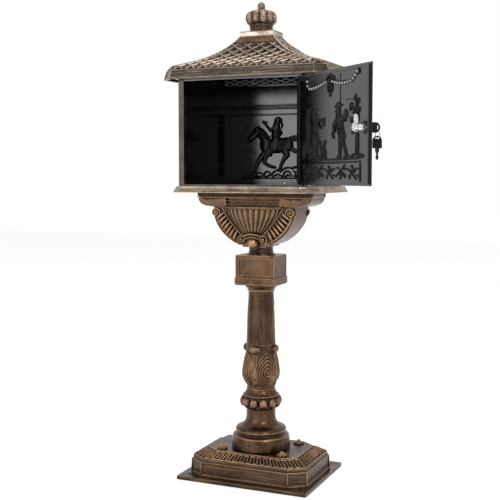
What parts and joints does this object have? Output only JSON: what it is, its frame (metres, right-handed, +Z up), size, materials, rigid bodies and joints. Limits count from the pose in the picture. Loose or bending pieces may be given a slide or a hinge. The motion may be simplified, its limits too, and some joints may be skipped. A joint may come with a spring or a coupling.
{
  "type": "pedestal mailbox",
  "caption": "Floor-standing cast pedestal mailbox: moulded base, turned column, fluted console and a roofed box with a locking side-hinged door, shown open, and a mail slot with a flap.",
  "frame": {"origin": "on the ground, at the centre of the four anchor holes, on the column's axis", "axes": "+Z up along the column; -Y towards the side with the locking door; +X to the right seen from that side, towards the door's hinge"},
  "size_m": [0.5836, 0.4622, 1.143],
  "materials": {
    "bronze_casting": "dark antique bronze coating with copper-coloured rubbed edges",
    "black_lining": "satin black paint on the inside faces",
    "zinc_steel": "zinc plated",
    "lock_chrome": "polished plating",
    "key": "black moulded head on a plated blade"
  },
  "bodies": {
    "pedestal": {"base_casting": "bronze_casting", "tie_plate": "zinc_steel", "rosette_caps": "bronze_casting", "rosette_nuts": "zinc_steel", "column_foot": "bronze_casting", "bead_ring": "bronze_casting", "leaf_vase": "bronze_casting", "column_shaft": "bronze_casting", "die_block": "bronze_casting", "tie_rod": "zinc_steel", "rod_nuts": "zinc_steel", "rod_washers": "zinc_steel", "set_screw": "zinc_steel", "console": "bronze_casting", "console_bolts": "zinc_steel", "floor_tray": "bronze_casting", "front_frame": "bronze_casting", "left_wall": "bronze_casting", "right_wall": "bronze_casting", "back_wall": "bronze_casting", "wall_screws": "zinc_steel", "hinge_pins": "zinc_steel", "flap_pin": "zinc_steel", "roof": "bronze_casting", "roof_screws": "zinc_steel", "finial_crown": "bronze_casting", "finial_tip": "bronze_casting", "finial_stud": "zinc_steel", "finial_nut": "zinc_steel"},
    "door": {"door_panel": "bronze_casting", "lock_body": "lock_chrome", "lock_nut": "lock_chrome"},
    "lock_core": {"lock_plug": "lock_chrome", "lock_cam": "lock_chrome", "cam_screw": "lock_chrome", "door_key": "key"},
    "split_ring": {"key_ring": "zinc_steel"},
    "hanging_key": {"spare_key": "key"},
    "flap": {"slot_flap": "bronze_casting"}
  },
  "joints": [
    {"name": "door_hinge", "type": "hinge", "parent": "pedestal", "child": "door", "pos_m": [0.1466, -0.1195, 0.8313], "axis": [0, 0, 1], "range_deg": [-138.9, 35]},
    {"name": "lock_turn", "type": "hinge", "parent": "door", "child": "lock_core", "pos_m": [0.35478, -0.30376, 0.826], "axis": [0.6574, 0.7536, 0], "range_deg": [0, 90]},
    {"name": "ring_swing", "type": "hinge", "parent": "lock_core", "child": "split_ring", "pos_m": [0.36983, -0.2865, 0.8214], "axis": [-0.7536, 0.6574, 0], "range_deg": [-60, 8]},
    {"name": "spare_key_swing", "type": "hinge", "parent": "split_ring", "child": "hanging_key", "pos_m": [0.36983, -0.2865, 0.8062], "axis": [-0.7536, 0.6574, 0], "range_deg": [-30, 8]},
    {"name": "slot_flap_hinge", "type": "hinge", "parent": "pedestal", "child": "flap", "pos_m": [0, 0.1225, 0.918], "axis": [1, 0, 0], "range_deg": [0, 85]}
  ]
}
